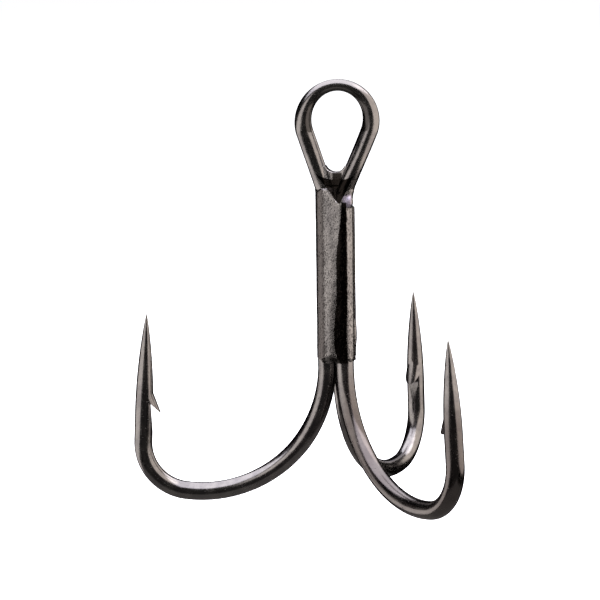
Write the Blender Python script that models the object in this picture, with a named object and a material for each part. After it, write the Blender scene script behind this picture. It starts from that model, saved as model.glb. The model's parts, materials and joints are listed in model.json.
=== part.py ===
"""Treble fishing hook: two bent steel wires held together by braze.

One wire makes the eye and two of the hooks, a second wire makes the third hook,
and braze fills the grooves between the three shanks. The origin is the inside top
of the eye, where a ring hangs, +Z runs up the shank and the third hook points at +Y.
"""

import math

import bmesh
import bpy
from mathutils import Matrix, Vector

MM = 0.001

# Wire and bundle
WIRE_RADIUS = 0.75 * MM
BUNDLE_RADIUS = 0.888 * MM
BUNDLE_TURN = math.radians(4.6)
EYE_TURN = math.radians(25.3)
WIRE_SIDES_RESOLUTION = 6

# One hook, from the straight shank to the point
WIDE_BEND_RADIUS = 10.17 * MM
WIDE_BEND_ANGLE = math.radians(98.4)
TIGHT_BEND_RADIUS = 4.0 * MM
TIGHT_BEND_ANGLE = math.radians(84.3)
REAR_SPEAR_LENGTH = 10.23 * MM
LEFT_SPEAR_LENGTH = 10.57 * MM
RIGHT_SPEAR_LENGTH = 9.68 * MM
POINT_TAPER_LENGTH = 7.9 * MM
POINT_FULLNESS = 0.79
POINT_RADIUS = 0.03 * MM

# Where the three hooks stand round the shank
REAR_AZIMUTH = math.radians(90)
LEFT_AZIMUTH = math.radians(207)
RIGHT_AZIMUTH = math.radians(328.5)
RIGHT_SPREAD = math.radians(2.4)
REAR_DROP = 0.39 * MM

# Heights above the start of the bends
BRAZE_BOTTOM = 0.9 * MM
BRAZE_TOP = 13.7 * MM
REAR_WIRE_TOP = 13.8 * MM
NECK_HEIGHT = 14.27 * MM
EYE_CENTRE_HEIGHT = 20.08 * MM

# Eye
EYE_RADIUS = 2.73 * MM
CROWN_RISE = 1.05
LEG_ANGLE = math.radians(20)
NECK_BEND_RADIUS = 4.4 * MM
EYE_SIDE_RADIUS = 0.708 * MM
CROWN_WIRE_RADIUS = 0.448 * MM
EYE_LEAN = math.radians(1.1)
EYE_LEAN_START = 11.8 * MM

# Barb, measured from the point along the spear and from the wire's centre inwards
BARB_START = 6.0 * MM
BARB_TIP = 8.1 * MM
BARB_ROOT = 7.1 * MM
BARB_END = 9.7 * MM
BARB_HEIGHT = 1.33 * MM
BARB_CUT_DEPTH = 0.5 * MM
BARB_WIDTH = 0.62 * MM

# Braze
FIT_GAP = 0.012 * MM
FILLET_INNER_ANGLE = math.radians(16)
FILLET_OUTER_ANGLE = math.radians(76)
FILLET_BULGE = 0.07 * MM
CORE_CUSP_ANGLE = math.radians(42)
WEB_HALF_THICKNESS = 0.4 * MM
WEB_BOTTOM_CLEARANCE = 0.08 * MM
WEB_TOP_HEIGHT = 16.35 * MM
WEB_TOP_DIP = 0.35 * MM

# The eye's inside top is the origin, so everything hangs below it.
BEND_START_Z = -(EYE_CENTRE_HEIGHT + EYE_RADIUS * CROWN_RISE - CROWN_WIRE_RADIUS)
EYE_SHIFT = math.tan(EYE_LEAN) * (EYE_CENTRE_HEIGHT + EYE_RADIUS - EYE_LEAN_START)


def polar(radius, angle, z=0.0):
    return Vector((radius * math.cos(angle), radius * math.sin(angle), z))


SHANK_OFFSET = BUNDLE_RADIUS * math.sqrt(3) / 2
NECK_TANGENT = NECK_BEND_RADIUS * math.tan(LEG_ANGLE / 2)
SHANK_TOP = NECK_HEIGHT - NECK_TANGENT


def eye_turn(height):
    """The turn of the plane through both wires: the shanks' below the neck, the eye's above its legs."""
    share = (height - SHANK_TOP) / (EYE_CENTRE_HEIGHT - SHANK_TOP)
    share = min(max(share, 0.0), 1.0)
    return BUNDLE_TURN + (EYE_TURN - BUNDLE_TURN) * share * share * (3 - 2 * share)


def across_and_front(height):
    """Unit vectors along the plane of the two front wires and square to it, at a height."""
    turned = eye_turn(height)
    return polar(1.0, turned), polar(1.0, turned - math.pi / 2)


EYE_ACROSS, EYE_FRONT = across_and_front(EYE_CENTRE_HEIGHT)
ORIGIN = EYE_FRONT * BUNDLE_RADIUS / 2 + EYE_ACROSS * EYE_SHIFT


def placed(point, height):
    """A point measured from the shank axis and the start of the bends, in the part's frame."""
    return Vector((point.x, point.y, height + BEND_START_Z)) - ORIGIN


def material(name, colour, roughness):
    made = bpy.data.materials.new(name)
    made.use_nodes = True
    shader = made.node_tree.nodes["Principled BSDF"]
    shader.inputs["Base Color"].default_value = (*colour, 1.0)
    shader.inputs["Metallic"].default_value = 1.0
    shader.inputs["Roughness"].default_value = roughness
    return made


def arc_steps(angle, count):
    return [angle * (i + 1) / count for i in range(count)]


def hook_profile(spear_length):
    """(distance out from the shank's centreline, height) along one hook, bend start to point."""
    points = []
    for turned in arc_steps(WIDE_BEND_ANGLE, 11):
        out = WIDE_BEND_RADIUS * (1 - math.cos(turned))
        points.append(Vector((out, -WIDE_BEND_RADIUS * math.sin(turned))))
    centre = points[-1] + TIGHT_BEND_RADIUS * Vector((math.cos(WIDE_BEND_ANGLE), math.sin(WIDE_BEND_ANGLE)))
    for turned in arc_steps(TIGHT_BEND_ANGLE, 8):
        heading = WIDE_BEND_ANGLE + turned
        points.append(centre - TIGHT_BEND_RADIUS * Vector((math.cos(heading), math.sin(heading))))
    heading = WIDE_BEND_ANGLE + TIGHT_BEND_ANGLE
    forward = Vector((math.sin(heading), -math.cos(heading)))
    last = points[-1]
    for share in (0.15, 0.3, 0.45, 0.6, 0.72, 0.82, 0.9, 0.96, 1.0):
        points.append(last + forward * spear_length * share)
    return points


def point_radius(distance):
    """The wire's radius at a distance back from the point."""
    share = min(distance / POINT_TAPER_LENGTH, 1.0)
    return max(WIRE_RADIUS * math.sin(share * math.pi / 2) ** POINT_FULLNESS, POINT_RADIUS)


def hook_wire(bundle_angle, azimuth, spear_length, spread, drop):
    """Points and radii of one hook from the start of its bend to its point."""
    start = polar(BUNDLE_RADIUS, bundle_angle + BUNDLE_TURN)
    outward = polar(1.0, azimuth)
    path = []
    for out, height in hook_profile(spear_length):
        leaned_out = out * math.cos(spread) - height * math.sin(spread)
        leaned_height = out * math.sin(spread) + height * math.cos(spread)
        path.append(placed(start + outward * leaned_out, leaned_height - drop))
    lengths = [(b - a).length for a, b in zip(path, path[1:])]
    radii = [point_radius(sum(lengths[i:])) for i in range(len(path))]
    return list(zip(path, radii))


def shank_wire(bundle_angle, top, count):
    """Points and radii of one shank, from its top down to the start of its bend."""
    centre = polar(BUNDLE_RADIUS, bundle_angle + BUNDLE_TURN)
    heights = [top * (1 - i / (count - 1)) for i in range(count)]
    return [(placed(centre, height), WIRE_RADIUS) for height in heights]


def eye_point(across, height):
    """A point in the plane of the eye or of its legs, leaning with the eye."""
    sideways, front = across_and_front(height)
    lean = math.tan(EYE_LEAN) * max(height - EYE_LEAN_START, 0.0)
    return placed(front * BUNDLE_RADIUS / 2 + sideways * (across + lean), height)


def eye_leg_height(across):
    """The height at which a straight eye leg stands this far from the eye's middle."""
    return NECK_HEIGHT + (across - SHANK_OFFSET) / math.tan(LEG_ANGLE)


def eye_half():
    """(across, height, radius) along the right half of the eye, from the crown to the neck."""
    centre = Vector((0.0, EYE_CENTRE_HEIGHT))
    end = -LEG_ANGLE
    count = 9
    points = []
    for i in range(count + 1):
        share = i / count
        angle = math.pi / 2 + (end - math.pi / 2) * share
        rise = CROWN_RISE if math.sin(angle) > 0 else 1.0
        across = EYE_RADIUS * math.cos(angle)
        height = centre.y + EYE_RADIUS * rise * math.sin(angle)
        thinning = math.cos(share * math.pi / 2) ** 2
        radius = EYE_SIDE_RADIUS + (CROWN_WIRE_RADIUS - EYE_SIDE_RADIUS) * thinning
        points.append((across, height, radius))
    bend_top = SHANK_OFFSET + NECK_TANGENT * math.sin(LEG_ANGLE)
    for i in (1, 2):
        across = points[count][0] + (bend_top - points[count][0]) * i / 2
        points.append((across, eye_leg_height(across), EYE_SIDE_RADIUS))
    bend_centre = Vector((SHANK_OFFSET + NECK_BEND_RADIUS, NECK_HEIGHT - NECK_TANGENT))
    for turned in arc_steps(LEG_ANGLE, 4):
        angle = LEG_ANGLE - turned
        across = bend_centre.x - NECK_BEND_RADIUS * math.cos(angle)
        height = bend_centre.y + NECK_BEND_RADIUS * math.sin(angle)
        share = turned / LEG_ANGLE
        radius = EYE_SIDE_RADIUS + (WIRE_RADIUS - EYE_SIDE_RADIUS) * share
        points.append((across, height, radius))
    return points


def wire_object(name, path, extra_radius=0.0):
    """A mesh tube along a list of (point, radius), closed at both ends."""
    curve = bpy.data.curves.new(name, "CURVE")
    curve.dimensions = "3D"
    curve.bevel_depth = 1.0
    curve.bevel_resolution = WIRE_SIDES_RESOLUTION
    curve.use_fill_caps = True
    spline = curve.splines.new("POLY")
    spline.points.add(len(path) - 1)
    for target, (point, radius) in zip(spline.points, path):
        target.co = (*point, 1.0)
        target.radius = radius + extra_radius
    guide = bpy.data.objects.new(name, curve)
    PARTS.objects.link(guide)
    return mesh_from(guide)


def mesh_from(guide):
    """Replaces a curve object with a welded mesh object of the same name."""
    bpy.context.view_layer.update()
    graph = bpy.context.evaluated_depsgraph_get()
    mesh = bpy.data.meshes.new_from_object(guide.evaluated_get(graph))
    name = guide.name
    placing = guide.matrix_world.copy()
    bpy.data.objects.remove(guide)
    shape = bmesh.new()
    shape.from_mesh(mesh)
    bmesh.ops.remove_doubles(shape, verts=shape.verts, dist=1e-7)
    bmesh.ops.recalc_face_normals(shape, faces=shape.faces)
    shape.to_mesh(mesh)
    shape.free()
    made = bpy.data.objects.new(name, mesh)
    made.matrix_world = placing
    PARTS.objects.link(made)
    return made


def flat_solid(name, outline, half_thickness, placing):
    """A flat outline with thickness, as a mesh object, placed by a matrix."""
    curve = bpy.data.curves.new(name, "CURVE")
    curve.dimensions = "2D"
    curve.fill_mode = "BOTH"
    curve.extrude = half_thickness
    spline = curve.splines.new("POLY")
    spline.use_cyclic_u = True
    spline.points.add(len(outline) - 1)
    for target, (x, y) in zip(spline.points, outline):
        target.co = (x, y, 0.0, 1.0)
    guide = bpy.data.objects.new(name, curve)
    guide.matrix_world = placing
    PARTS.objects.link(guide)
    return mesh_from(guide)


def as_cutter(helper):
    PARTS.objects.unlink(helper)
    CUTTERS.objects.link(helper)
    helper.hide_render = True
    helper.display_type = "WIRE"
    return helper


def boolean(target, helper, operation):
    """Cuts or joins a helper, which then stays in the cutters' collection."""
    modifier = target.modifiers.new(helper.name, "BOOLEAN")
    modifier.operation = operation
    modifier.solver = "EXACT"
    modifier.object = as_cutter(helper)


def barb_frame(hook, spear_length):
    """A matrix where the point of a spear of usual length would be: X back along it, Y in to the shank."""
    tip = hook[-1][0]
    back = (hook[-6][0] - tip).normalized()
    bend = hook[0][0] - tip
    inward = (bend - back * bend.dot(back)).normalized()
    side = back.cross(inward)
    axes = Matrix((back, inward, side)).transposed().to_4x4()
    usual_point = tip + back * (spear_length - REAR_SPEAR_LENGTH)
    return Matrix.Translation(usual_point) @ axes


def add_barb(wire, label, hook, spear_length):
    """Cuts a long shallow notch in the inner side of a spear and raises the chip above it."""
    placing = barb_frame(hook, spear_length)
    above = 2 * BARB_HEIGHT
    notch = [
        (BARB_ROOT, BARB_CUT_DEPTH),
        (BARB_END, WIRE_RADIUS + FIT_GAP),
        (BARB_END, above),
        (BARB_ROOT, above),
    ]
    boolean(wire, flat_solid(f"{label}_barb_notch", notch, WIRE_RADIUS * 1.2, placing), "DIFFERENCE")
    chip = [
        (BARB_START, BARB_CUT_DEPTH),
        (BARB_ROOT - 0.1 * MM, BARB_CUT_DEPTH - 0.15 * MM),
        (BARB_TIP, BARB_HEIGHT),
    ]
    boolean(wire, flat_solid(f"{label}_barb_chip", chip, BARB_WIDTH / 2, placing), "UNION")


def shank_prism(name, outline):
    """A section of the braze, as long as the braze is."""
    middle = (BRAZE_BOTTOM + BRAZE_TOP) / 2
    placing = Matrix.Translation(placed(Vector(), middle))
    return flat_solid(name, outline, (BRAZE_TOP - BRAZE_BOTTOM) / 2, placing)


def groove_section(direction):
    """The braze in one outer groove: concave on both wires, with a faintly rounded skin."""
    radius = WIRE_RADIUS + FIT_GAP
    side = []
    count = 5
    for i in range(count):
        share = i / (count - 1)
        angle = FILLET_INNER_ANGLE + (FILLET_OUTER_ANGLE - FILLET_INNER_ANGLE) * share
        out = BUNDLE_RADIUS / 2 + radius * math.sin(angle)
        side.append((out, SHANK_OFFSET - radius * math.cos(angle)))
    edge_out, edge_across = side[-1]
    skin = []
    for share in (0.5, 0.0, -0.5):
        out = edge_out + FILLET_BULGE * math.cos(share * math.pi / 2)
        skin.append((out, edge_across * share))
    outline = side + skin + [(out, -across) for out, across in reversed(side)]
    turn = Matrix.Rotation(direction, 2)
    return [turn @ Vector(point) for point in outline]


def core_section(first_direction):
    """The three-pointed braze between the wires, concave on each of them."""
    radius = WIRE_RADIUS + FIT_GAP
    outline = []
    for k in range(3):
        centre = polar(BUNDLE_RADIUS, first_direction + math.tau * k / 3)
        facing = first_direction + math.tau * k / 3 + math.pi
        for share in (-1.0, -0.5, 0.0, 0.5, 1.0):
            corner = centre + polar(radius, facing - share * CORE_CUSP_ANGLE)
            outline.append((corner.x, corner.y))
    return [Vector(point) for point in outline]


def neck_web(fat_wire):
    """Braze in the crotch of the eye, between the legs, with a dished top."""
    bottom = NECK_HEIGHT + WEB_BOTTOM_CLEARANCE
    half_width = SHANK_OFFSET + (WEB_TOP_HEIGHT - NECK_HEIGHT) * math.tan(LEG_ANGLE)
    outline = [(-SHANK_OFFSET * 0.6, bottom), (SHANK_OFFSET * 0.6, bottom)]
    for share in (1.0, 0.6, 0.2, -0.2, -0.6, -1.0):
        dip = WEB_TOP_DIP * (1 - share**2)
        outline.append((half_width * share, WEB_TOP_HEIGHT - dip))
    sideways, front = across_and_front((bottom + WEB_TOP_HEIGHT) / 2)
    axes = Matrix((sideways, Vector((0, 0, 1)), front)).transposed().to_4x4()
    base = placed(front * BUNDLE_RADIUS / 2, 0.0)
    placing = Matrix.Translation(base) @ axes
    web = flat_solid("braze_neck_web", outline, WEB_HALF_THICKNESS, placing)
    boolean(web, fat_wire, "DIFFERENCE")
    return web


for old in list(bpy.data.objects):
    bpy.data.objects.remove(old)

PARTS = bpy.data.collections.new("treble_hook")
CUTTERS = bpy.data.collections.new("cutters")
for collection in (PARTS, CUTTERS):
    bpy.context.scene.collection.children.link(collection)

BLACK_NICKEL = material("black_nickel_wire", (0.045, 0.042, 0.045), 0.22)
BRAZE = material("black_nickel_braze", (0.05, 0.045, 0.05), 0.35)

LEFT_BUNDLE = math.radians(210)
RIGHT_BUNDLE = math.radians(330)
REAR_BUNDLE = math.radians(90)

left_hook = hook_wire(LEFT_BUNDLE, LEFT_AZIMUTH, LEFT_SPEAR_LENGTH, 0.0, 0.0)
right_hook = hook_wire(RIGHT_BUNDLE, RIGHT_AZIMUTH, RIGHT_SPEAR_LENGTH, RIGHT_SPREAD, 0.0)
rear_hook = hook_wire(REAR_BUNDLE, REAR_AZIMUTH, REAR_SPEAR_LENGTH, 0.0, REAR_DROP)

left_shank = shank_wire(LEFT_BUNDLE, SHANK_TOP, 5)
right_shank = shank_wire(RIGHT_BUNDLE, SHANK_TOP, 5)
rear_shank = shank_wire(REAR_BUNDLE, REAR_WIRE_TOP, 5)

half = eye_half()
right_eye = [(eye_point(across, height), radius) for across, height, radius in half]
left_eye = [(eye_point(-across, height), radius) for across, height, radius in half]

eye_path = left_eye[:0:-1] + right_eye
double_path = left_hook[::-1] + left_shank[::-1] + eye_path[1:-1] + right_shank + right_hook

double_wire = wire_object("double_hook_wire", double_path)
add_barb(double_wire, "left", left_hook, LEFT_SPEAR_LENGTH)
add_barb(double_wire, "right", right_hook, RIGHT_SPEAR_LENGTH)

single_wire = wire_object("single_hook_wire", rear_shank + rear_hook)
add_barb(single_wire, "rear", rear_hook, REAR_SPEAR_LENGTH)

core = shank_prism("braze_core", core_section(REAR_BUNDLE + BUNDLE_TURN))
fillets = []
for label, direction in (("front", 270), ("left", 150), ("right", 30)):
    section = groove_section(math.radians(direction) + BUNDLE_TURN)
    fillets.append(shank_prism(f"braze_fillet_{label}", section))

fat_wire = wire_object("fat_eye_wire", eye_path, FIT_GAP)
web = neck_web(fat_wire)

for wire in (double_wire, single_wire):
    wire.data.materials.append(BLACK_NICKEL)
for filler in (core, web, *fillets):
    filler.data.materials.append(BRAZE)
for part in PARTS.objects:
    part.data.shade_smooth()
    part.data.set_sharp_from_angle(angle=math.radians(40))
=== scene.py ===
# %% [markdown]
# # A treble hook in black nickel
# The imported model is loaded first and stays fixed. It says how big the hook is and where it hangs. The
# visual pieces below are finer versions of its wires and its braze, made at the same size and place.

# %% Load the frame
import math

import bmesh
import bpy
from mathutils import Matrix, Vector
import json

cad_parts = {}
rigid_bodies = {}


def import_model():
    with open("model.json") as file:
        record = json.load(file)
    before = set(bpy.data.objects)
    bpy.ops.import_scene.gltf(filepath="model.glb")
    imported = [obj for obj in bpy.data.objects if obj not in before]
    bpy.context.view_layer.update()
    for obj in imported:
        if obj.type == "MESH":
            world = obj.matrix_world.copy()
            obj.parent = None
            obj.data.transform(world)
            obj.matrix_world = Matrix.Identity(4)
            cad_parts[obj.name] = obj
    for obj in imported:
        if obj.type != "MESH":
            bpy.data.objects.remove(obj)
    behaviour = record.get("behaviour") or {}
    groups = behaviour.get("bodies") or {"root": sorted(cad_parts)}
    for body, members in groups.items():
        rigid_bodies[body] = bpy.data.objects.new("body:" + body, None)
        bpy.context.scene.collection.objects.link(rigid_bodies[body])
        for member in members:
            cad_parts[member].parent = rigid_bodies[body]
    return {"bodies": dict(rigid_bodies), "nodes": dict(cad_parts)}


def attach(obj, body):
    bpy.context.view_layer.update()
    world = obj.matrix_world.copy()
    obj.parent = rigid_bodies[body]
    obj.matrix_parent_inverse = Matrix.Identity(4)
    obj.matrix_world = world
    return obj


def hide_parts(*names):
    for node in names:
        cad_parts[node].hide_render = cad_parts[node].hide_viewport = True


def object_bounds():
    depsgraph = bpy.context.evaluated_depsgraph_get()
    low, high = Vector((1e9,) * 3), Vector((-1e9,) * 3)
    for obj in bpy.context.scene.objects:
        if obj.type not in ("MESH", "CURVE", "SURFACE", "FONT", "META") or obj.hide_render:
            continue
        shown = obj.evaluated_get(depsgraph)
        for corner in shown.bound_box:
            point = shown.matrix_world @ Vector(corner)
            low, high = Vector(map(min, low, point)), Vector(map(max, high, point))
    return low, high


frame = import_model()
cad_low, cad_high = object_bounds()
BODY = list(frame["bodies"])[0]
print("nodes:", sorted(frame["nodes"]))
print("height in mm:", round((cad_high.z - cad_low.z) * 1000, 2))

# %% [markdown]
# ## The wire and its bends
# A treble hook is bent from drawn steel wire, so a few numbers describe it: the wire's radius, two bend
# radii with their angles, and the straight spear that ends in the point. Blender's tools round small
# distances, so every piece is modelled with one unit to the millimetre and shrunk when it is finished.
# The three shanks stand in a triangle. Each side of it is an angle round the shank's axis.

# %% Driving dimensions, in millimetres and radians
MM = 0.001
WIRE_RADIUS = 0.75
WIDE_BEND_RADIUS = 10.17
WIDE_BEND_ANGLE = math.radians(98.4)
TIGHT_BEND_RADIUS = 4.0
TIGHT_BEND_ANGLE = math.radians(84.3)
SPEAR_LENGTH = 10.23
POINT_TAPER_LENGTH = 7.9
POINT_FULLNESS = 0.79

BUNDLE_RADIUS = 0.888
BUNDLE_TURN = math.radians(4.6)
REAR_SIDE = math.radians(90)
LEFT_SIDE = math.radians(210)
RIGHT_SIDE = math.radians(330)
RIGHT_GROOVE = math.radians(30)
LEFT_GROOVE = math.radians(150)
FRONT_GROOVE = math.radians(270)

NECK_HEIGHT = 14.27
NECK_BEND_RADIUS = 4.4
LEG_ANGLE = math.radians(20)
EYE_CENTRE_HEIGHT = 20.08
EYE_RADIUS = 2.73
EYE_SIDE_RADIUS = 0.708
CROWN_WIRE_RADIUS = 0.448
CROWN_RISE = 1.05
EYE_TURN = math.radians(25.3)
EYE_LEAN = math.radians(1.1)
EYE_LEAN_START = 11.8
REAR_WIRE_TOP = 13.8
HOOK_TOP_GAP = 0.3

SHANK_OFFSET = BUNDLE_RADIUS * math.sqrt(3) / 2
SHANK_TOP = NECK_HEIGHT - NECK_BEND_RADIUS * math.tan(LEG_ANGLE / 2)
HOOK_TOP = SHANK_TOP - HOOK_TOP_GAP
print("straight shank in mm:", round(SHANK_TOP, 2))

# %% [markdown]
# ## Where the bench stands in the frame
# The origin of the frame is the inside top of the eye. On the bench the origin is on the shank's axis at
# the start of the bends, which is easier to build around, so one offset takes a finished piece home.


# %% From the bench to the frame
def polar(radius, angle, height=0.0):
    return Vector((radius * math.cos(angle), radius * math.sin(angle), height))


eye_top = EYE_CENTRE_HEIGHT + EYE_RADIUS * CROWN_RISE - CROWN_WIRE_RADIUS
eye_shift = math.tan(EYE_LEAN) * (EYE_CENTRE_HEIGHT + EYE_RADIUS - EYE_LEAN_START)
eye_offset = polar(BUNDLE_RADIUS / 2, EYE_TURN - math.pi / 2) + polar(eye_shift, EYE_TURN)
BENCH_ORIGIN = Vector((-eye_offset.x, -eye_offset.y, -eye_top)) * MM
print("bench origin in mm:", [round(value / MM, 2) for value in BENCH_ORIGIN])


def only(*pieces):
    """Selects these objects alone, the first one active."""
    bpy.ops.object.select_all(action="DESELECT")
    for piece in pieces:
        piece.select_set(True)
    bpy.context.view_layer.objects.active = pieces[0]


def bring_home(piece):
    """Shrinks a finished piece to metres, puts it in the frame and applies both."""
    piece.scale = (MM, MM, MM)
    piece.location = BENCH_ORIGIN
    only(piece)
    bpy.ops.object.transform_apply(location=True, rotation=True, scale=True)


# %% [markdown]
# ## Light and camera first
# Polished metal has no look of its own: it shows what stands around it. Bright panels left, right and
# above make the pale stripes along the wires, and the gaps between the panels leave dark lines beside
# them. The floor and the sky are pale, and the metal doesn't reflect them.

# %% Camera
CAMERA_AZIMUTH = math.radians(26.04)
CAMERA_ELEVATION = math.radians(9.12)
CAMERA_DISTANCE = 235.1 * MM
CAMERA_ROLL = math.radians(-0.78)
CAMERA_LENS = 174
AIM_LEFT_OF_SHANK = 3.01 * MM
AIM_BELOW_EYE = 17.0 * MM

to_camera = Vector((math.sin(CAMERA_AZIMUTH), -math.cos(CAMERA_AZIMUTH), 0))
to_right = Vector((math.cos(CAMERA_AZIMUTH), math.sin(CAMERA_AZIMUTH), 0))
UP = Vector((0, 0, 1))
shank_axis = Vector((BENCH_ORIGIN.x, BENCH_ORIGIN.y, 0))
aim = shank_axis - to_right * AIM_LEFT_OF_SHANK - UP * AIM_BELOW_EYE
back = to_camera * math.cos(CAMERA_ELEVATION) + UP * math.sin(CAMERA_ELEVATION)

bpy.ops.object.camera_add(location=aim + back * CAMERA_DISTANCE)
camera = bpy.context.object
camera.data.lens = CAMERA_LENS
camera.data.clip_start = 1 * MM
facing = back.to_track_quat("Z", "Y")
camera.rotation_mode = "QUATERNION"
camera.rotation_quaternion = facing @ Matrix.Rotation(CAMERA_ROLL, 3, "Z").to_quaternion()
bpy.context.scene.camera = camera
print("camera in mm:", [round(value / MM, 1) for value in camera.location])

# %% Panels of light
WARM = (1.0, 0.91, 0.84)
COOL = (0.93, 0.92, 1.0)
GREY = (1.0, 0.95, 0.92)
OVERHEAD = 0.3
FRONT_FILL_DISTANCE = 0.6
middle = (cad_low + cad_high) / 2


def hang_light(name, place, way, size, brightness, colour, roll=0.0, shape="RECTANGLE"):
    """A light whose back is towards a direction. Its watts follow from its size and brightness."""
    bpy.ops.object.light_add(type="AREA", location=place)
    light = bpy.context.object
    light.name = name
    light.rotation_mode = "QUATERNION"
    spin = Matrix.Rotation(math.radians(roll), 3, "Z").to_quaternion()
    light.rotation_quaternion = way.to_track_quat("Z", "Y") @ spin
    light.data.shape = shape
    light.data.size, light.data.size_y = size
    light.data.energy = brightness * math.pi * size[0] * size[1]
    light.data.color = colour
    light.visible_camera = False
    print(name, "is", round(size[0], 2), "by", round(size[1], 2), "m")


def panel(name, side_angle, height, distance, **look):
    """A light facing the shank, with its angle from the camera's side and the height of its middle."""
    way = Matrix.Rotation(math.radians(side_angle), 3, "Z") @ to_camera
    place = Vector((middle.x, middle.y, height)) + way * distance
    hang_light(name, place, way, **look)


panel("left_panel", -71, -0.028, 0.11, size=(0.07, 0.34), brightness=1.75, colour=GREY, roll=-58)
panel("right_panel", 80, 0.07, 0.09, size=(0.25, 0.25), brightness=1.45, colour=WARM, shape="DISK")
hang_light("top_panel", middle + UP * OVERHEAD, UP, (0.6, 0.66), 3.4, COOL)
hang_light("under_panel", middle - UP * OVERHEAD, -UP, (0.8, 0.8), 0.22, GREY)
front_place = middle + to_camera * FRONT_FILL_DISTANCE
hang_light("front_fill", front_place, to_camera, (0.9, 0.9), 0.045, GREY)

# %% Floor and sky
FLOOR_DROP = 22 * MM
FLOOR_SIZE = 4
FLOOR_PALENESS = 0.97


def grey(value):
    return (value, value, value, 1.0)


world = bpy.data.worlds.new("pale_studio")
bpy.context.scene.world = world
world.use_nodes = True
world.node_tree.nodes["Background"].inputs["Color"].default_value = grey(1.0)
world.cycles_visibility.glossy = False

bpy.ops.mesh.primitive_plane_add(size=FLOOR_SIZE, location=(0, 0, cad_low.z - FLOOR_DROP))
floor = bpy.context.object
floor.name = "floor"
floor.visible_glossy = False
floor.visible_shadow = False
floor_paint = bpy.data.materials.new("pale_floor")
floor_paint.use_nodes = True
floor_shader = floor_paint.node_tree.nodes["Principled BSDF"]
floor_shader.inputs["Base Color"].default_value = grey(FLOOR_PALENESS)
floor_shader.inputs["Roughness"].default_value = 1.0
floor_shader.inputs["Specular IOR Level"].default_value = 0.0
floor.data.materials.append(floor_paint)
bpy.context.scene.view_settings.view_transform = "Standard"
print("floor height in mm:", round(floor.location.z / MM, 1))

# %% [markdown]
# ## Shader maths as expressions
# Wrapping a socket in a small class lets a material be written as a formula. Each operation adds the
# Math node it stands for, and one method adds any other node.


# %% A socket that does sums
class Sum:
    """A shader socket that can be added to, multiplied and compared."""

    def __init__(self, tree, socket):
        self.tree = tree
        self.socket = socket

    def node(self, kind, settings=(), output=0, **inputs):
        """Adds a node, sets it up, fills its sockets with values or links, and returns an output."""
        made = self.tree.nodes.new(kind)
        for name, value in dict(settings).items():
            setattr(made, name, value)
        for name, value in inputs.items():
            key = int(name[1:]) if name[1:].isdigit() else name.replace("_", " ")
            target = made.inputs[key]
            if isinstance(value, Sum):
                self.tree.links.new(value.socket, target)
            else:
                target.default_value = value
        return Sum(self.tree, made.outputs[output])

    def into(self, shader, socket):
        """Feeds a socket of the material's shader."""
        self.tree.links.new(self.socket, shader.inputs[socket])

    def maths(self, operation, *values):
        filled = {f"i{index}": value for index, value in enumerate(values)}
        return self.node("ShaderNodeMath", {"operation": operation}, **filled)

    def __add__(self, other):
        return self.maths("ADD", self, other)

    def __radd__(self, other):
        return self.maths("ADD", other, self)

    def __sub__(self, other):
        return self.maths("SUBTRACT", self, other)

    def __rsub__(self, other):
        return self.maths("SUBTRACT", other, self)

    def __mul__(self, other):
        return self.maths("MULTIPLY", self, other)

    def __rmul__(self, other):
        return self.maths("MULTIPLY", other, self)

    def part(self, index):
        """One coordinate of a vector: 0, 1 or 2."""
        return self.node("ShaderNodeSeparateXYZ", output=index, i0=self)

    def step(self, low, high):
        """0 below low, 1 above high, and a smooth way between."""
        settings = {"interpolation_type": "SMOOTHSTEP"}
        return self.node("ShaderNodeMapRange", settings, i0=self, i1=low, i2=high, i3=0.0, i4=1.0)

    def mixed(self, first, second):
        """A colour: first where this is 0, second where it is 1."""
        settings = {"data_type": "RGBA"}
        return self.node("ShaderNodeMix", settings, output=2, i0=self, i6=first, i7=second)


def new_material(name):
    """A material, its shader, and a Sum to start expressions from."""
    made = bpy.data.materials.new(name)
    made.use_nodes = True
    shader = made.node_tree.nodes["Principled BSDF"]
    print("finish:", name)
    return made, shader, Sum(made.node_tree, None)


# %% [markdown]
# ## Soot and painted shade
# Burnt flux stays in the hollow between the legs of the eye and down the front groove, and a polished
# shank mirrors a dark room there as well. Both are painted into the colour as one dark mask, part soot
# and part painted shade and painted reflection, worked out from how far a point lies across the plane of
# the eye, how far in front of it and how high. Each edge of the stripe stands at one place and moves
# sideways over some stretches of height. The braze and the wires read the same mask, so the soot and the
# painted shade run on from one to the other.

# %% Measures for the masks
NOISE_ROUGHNESS = 0.6


def noise(start, vector, scale, detail):
    filled = {"Vector": vector, "Scale": scale, "Detail": detail, "Roughness": NOISE_ROUGHNESS}
    return start.node("ShaderNodeTexNoise", **filled)


def stretched_noise(start, vector, scales, detail):
    """Noise with a scale of its own along each axis."""
    settings = {"vector_type": "POINT"}
    mapped = start.node("ShaderNodeMapping", settings, Vector=vector, Scale=scales)
    return noise(start, mapped, 1.0, detail)


def along(start, place, direction):
    """Millimetres from the bench's origin along a direction."""
    moved = start.node("ShaderNodeVectorMath", {"operation": "SUBTRACT"}, i0=place, i1=BENCH_ORIGIN)
    settings = {"operation": "DOT_PRODUCT"}
    return start.node("ShaderNodeVectorMath", settings, output=1, i0=moved, i1=direction / MM)


def across_eye(start, place):
    """How far right of the shank's axis a point lies, across the plane of the eye."""
    return along(start, place, polar(1.0, EYE_TURN))


def before_eye(start, place):
    """How far a point lies in front of the shank's axis, square to the plane of the eye."""
    return along(start, place, polar(1.0, EYE_TURN - math.pi / 2))


def up_shank(start, place):
    return along(start, place, UP)


def between(value, low, high, blur):
    """1 where low < value < high, 0 elsewhere."""
    return (value - low).step(-blur, blur) * (high - value).step(-blur, blur)
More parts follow.
